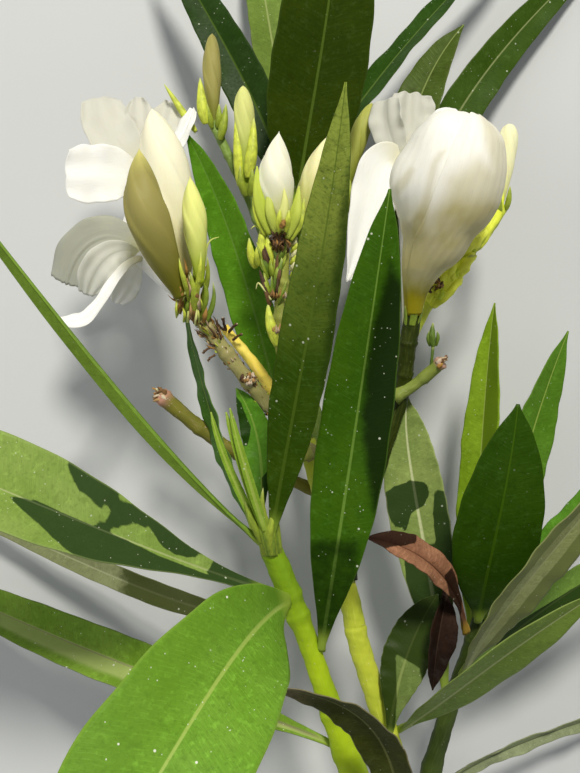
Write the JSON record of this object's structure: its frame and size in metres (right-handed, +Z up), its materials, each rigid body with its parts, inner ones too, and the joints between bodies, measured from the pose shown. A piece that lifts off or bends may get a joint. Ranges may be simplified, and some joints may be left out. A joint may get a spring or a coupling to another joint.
{
  "type": "cut flowering oleander branch",
  "caption": "Cut oleander branch lying down, with long leathery green leaves, white flowers, cream buds and yellow-green stems.",
  "frame": {"origin": "middle of the box at the ground that the branch lies on", "axes": "+Z up, +Y from the cut end towards the flowering tips, +X to the right as seen from above"},
  "size_m": [0.2564, 0.3838, 0.1266],
  "materials": {
    "leaf": "satin",
    "young_leaf": "satin",
    "dead_leaf": "matte",
    "petal": "satin",
    "bud": "satin",
    "stem": "satin",
    "wood": "matte"
  },
  "bodies": {
    "root": {"back_flower_stalk": "stem", "back_leaf_left": "leaf", "back_leaf_right": "leaf", "back_stem": "stem", "bloom_half_open": "petal", "bloom_left_lower": "petal", "bloom_left_upper": "petal", "bloom_right_back": "petal", "bright_shoot": "stem", "bud_back_middle": "bud", "bud_back_tall": "bud", "bud_beside": "bud", "bud_centre": "bud", "bud_centre_right": "bud", "bud_cream_left": "bud", "bud_far_right": "bud", "bud_green_left": "bud", "bud_small_left": "bud", "centre_stalk": "stem", "cut_stem": "wood", "dead_leaf": "dead_leaf", "dead_leaf_folded": "dead_leaf", "leaf_behind_bud": "leaf", "leaf_centre": "leaf", "leaf_centre_dark": "leaf", "leaf_curling": "leaf", "leaf_dark_narrow": "leaf", "leaf_far_grey": "leaf", "leaf_far_right": "leaf", "leaf_half_hidden": "leaf", "leaf_left_broad": "leaf", "leaf_left_edge": "leaf", "leaf_left_under": "leaf", "leaf_lower_left": "leaf", "leaf_lower_right": "leaf", "leaf_near": "leaf", "leaf_pale": "leaf", "leaf_right_dark": "leaf", "leaf_right_far": "leaf", "leaf_right_lower": "leaf", "leaf_right_narrow": "leaf", "leaf_right_sliver": "leaf", "leaf_right_under": "leaf", "leaf_right_upper": "leaf", "leaf_small": "leaf", "leaf_top_large": "leaf", "leaf_top_left": "leaf", "leaf_top_middle": "leaf", "leaf_top_right": "leaf", "left_stalk": "stem", "olive_stem": "stem", "right_pedicel": "stem", "right_shoot": "stem", "right_stalk": "stem", "right_stub": "stem", "spent_stub": "stem", "tan_stalk": "stem", "young_leaf_1": "young_leaf", "young_leaf_2": "young_leaf"}
  },
  "joints": []
}
